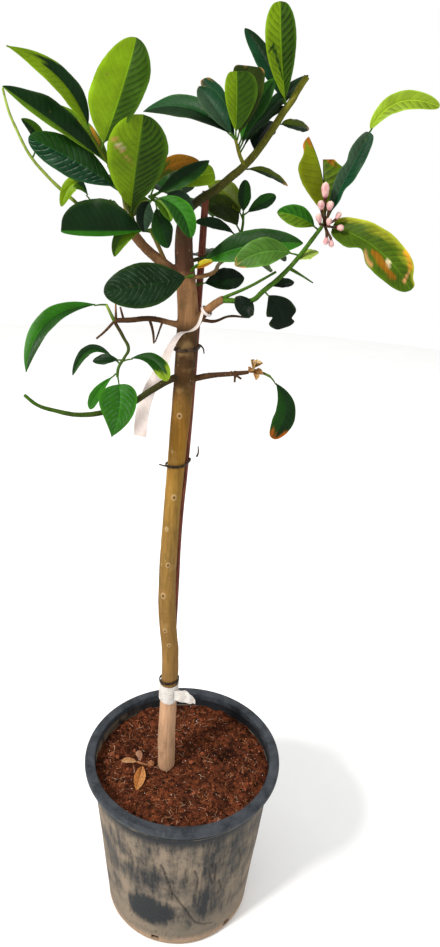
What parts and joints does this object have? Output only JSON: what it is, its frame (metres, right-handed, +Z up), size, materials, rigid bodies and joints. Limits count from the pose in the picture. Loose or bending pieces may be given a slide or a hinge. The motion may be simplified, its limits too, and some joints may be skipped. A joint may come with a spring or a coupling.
{
  "type": "potted citron tree",
  "caption": "Young citron tree in a black plastic nursery container: slim staked trunk, sparse leafy crown with pink flower buds, brown soil with dry litter.",
  "frame": {"origin": "centre of the container's underside, on the surface it stands on", "axes": "+Z up, +X to the right and -Y towards the viewer of the picture"},
  "size_m": [0.3865, 0.2847, 1.1147],
  "materials": {
    "pot_plastic": "matt black, dusty and scuffed",
    "soil_peat": "moist coir and peat, crumbly",
    "bark": "smooth young bark",
    "stake_wood": "plain stick",
    "tie_rubber": "matt",
    "tape_white": "soft white, ribbed",
    "label_white": "satin, blank",
    "leaf_green": "waxy living leaf",
    "bud_pink": "satin petal",
    "dead_leaf": "dry and matt"
  },
  "bodies": {
    "root": {"pot": "pot_plastic", "soil": "soil_peat", "trunk": "bark", "twig_low_left": "bark", "stake": "stake_wood", "tie_top": "tie_rubber", "tie_middle": "tie_rubber", "tie_low": "tie_rubber", "graft_tape": "tape_white", "label_tag": "label_white", "leaf_front": "leaf_green", "leaf_left_arch": "leaf_green", "leaf_low_right": "leaf_green", "leaf_right_big": "leaf_green", "leaf_right_dark": "leaf_green", "shoot_back_left": "leaf_green", "shoot_back_middle": "leaf_green", "shoot_back_right": "leaf_green", "shoot_centre": "leaf_green", "shoot_flower": "leaf_green", "shoot_left_long": "leaf_green", "shoot_left_middle": "leaf_green", "shoot_left_upper": "leaf_green", "shoot_low_left": "leaf_green", "shoot_right_centre": "leaf_green", "shoot_right_main": "leaf_green", "bud_cluster": "bud_pink", "dried_flowers": "dead_leaf", "dry_litter": "dead_leaf"}
  },
  "joints": []
}
